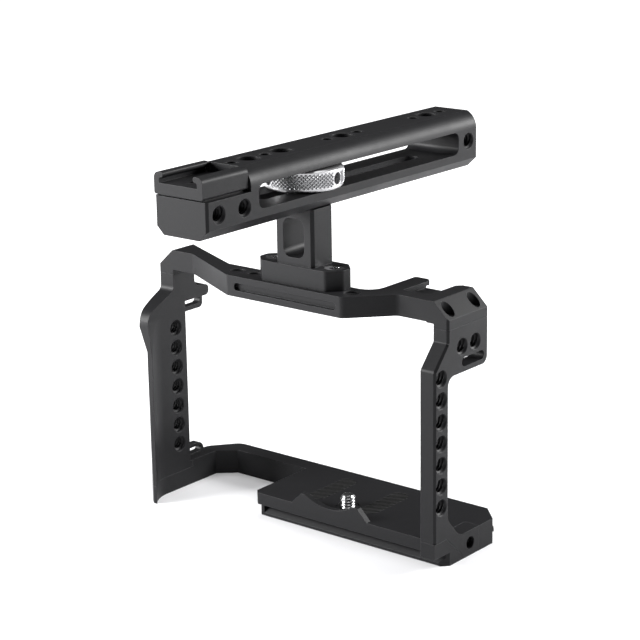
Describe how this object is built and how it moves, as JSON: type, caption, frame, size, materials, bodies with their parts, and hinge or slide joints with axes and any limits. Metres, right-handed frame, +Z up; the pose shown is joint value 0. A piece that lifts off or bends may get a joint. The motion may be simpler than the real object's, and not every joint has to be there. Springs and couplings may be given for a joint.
{
  "type": "camera cage with top handle",
  "caption": "Camera cage with an L-shaped dovetail base, two drilled uprights, a top bar with a cold shoe, and a slotted handle that slides on a post.",
  "frame": {"origin": "on the underside of the base, below the lens axis and midway between the dovetail's flanks", "axes": "+X to the right seen from the lens side, +Y to the rear along the lens axis, +Z up"},
  "size_m": [0.1515, 0.1705, 0.1626],
  "materials": {
    "anodised_black": "bead blasted and anodised black, satin",
    "screw_black": "blackened steel",
    "steel": "stainless, turned",
    "wheel_silver": "clear anodised, knurled rim",
    "pad_rubber": "ribbed rubber"
  },
  "bodies": {
    "cage": {"base_plate": "anodised_black", "right_upright": "anodised_black", "grip_upright": "anodised_black", "top_bar": "anodised_black", "top_screw_right_front": "screw_black", "top_screw_right_rear": "screw_black", "top_screw_grip_front": "screw_black", "top_screw_grip_rear": "screw_black", "base_screw_right": "screw_black", "base_screw_grip_front": "screw_black", "base_screw_grip_rear": "screw_black", "corner_screw": "screw_black", "rubber_pad_left": "pad_rubber", "rubber_pad_right": "pad_rubber", "handle_foot": "anodised_black", "foot_screw_left": "steel", "foot_screw_right": "steel", "clamp_stud": "steel", "stud_set_screw": "screw_black"},
    "handle": {"handle_body": "anodised_black", "handle_shoe": "anodised_black", "shoe_screw_front": "screw_black", "shoe_screw_rear": "screw_black"},
    "washer": {"wheel_washer": "steel"},
    "wheel": {"lock_wheel": "wheel_silver"},
    "camera_screw": {"camera_screw": "steel", "camera_screw_ring": "steel"}
  },
  "joints": [
    {"name": "handle_slide", "type": "slide", "parent": "cage", "child": "handle", "axis": [0, 1, 0], "range_m": [-0.07, 0.0235]},
    {"name": "wheel_lift", "type": "slide", "parent": "cage", "child": "washer", "axis": [0, 0, 1], "range_m": [0, 0.0005]},
    {"name": "wheel_turn", "type": "hinge", "parent": "washer", "child": "wheel", "pos_m": [-0.0083, -0.0235, 0.1505], "axis": [0, 0, 1], "range_deg": [0, 180]},
    {"name": "camera_screw_turn", "type": "hinge", "parent": "cage", "child": "camera_screw", "pos_m": [0.0015, -0.0102, 0.008], "axis": [0, 0, 1], "continuous": true}
  ],
  "couplings": [
    {"joint": "wheel_lift", "follows": "wheel_turn", "m_per_rad": 0.00015915}
  ]
}
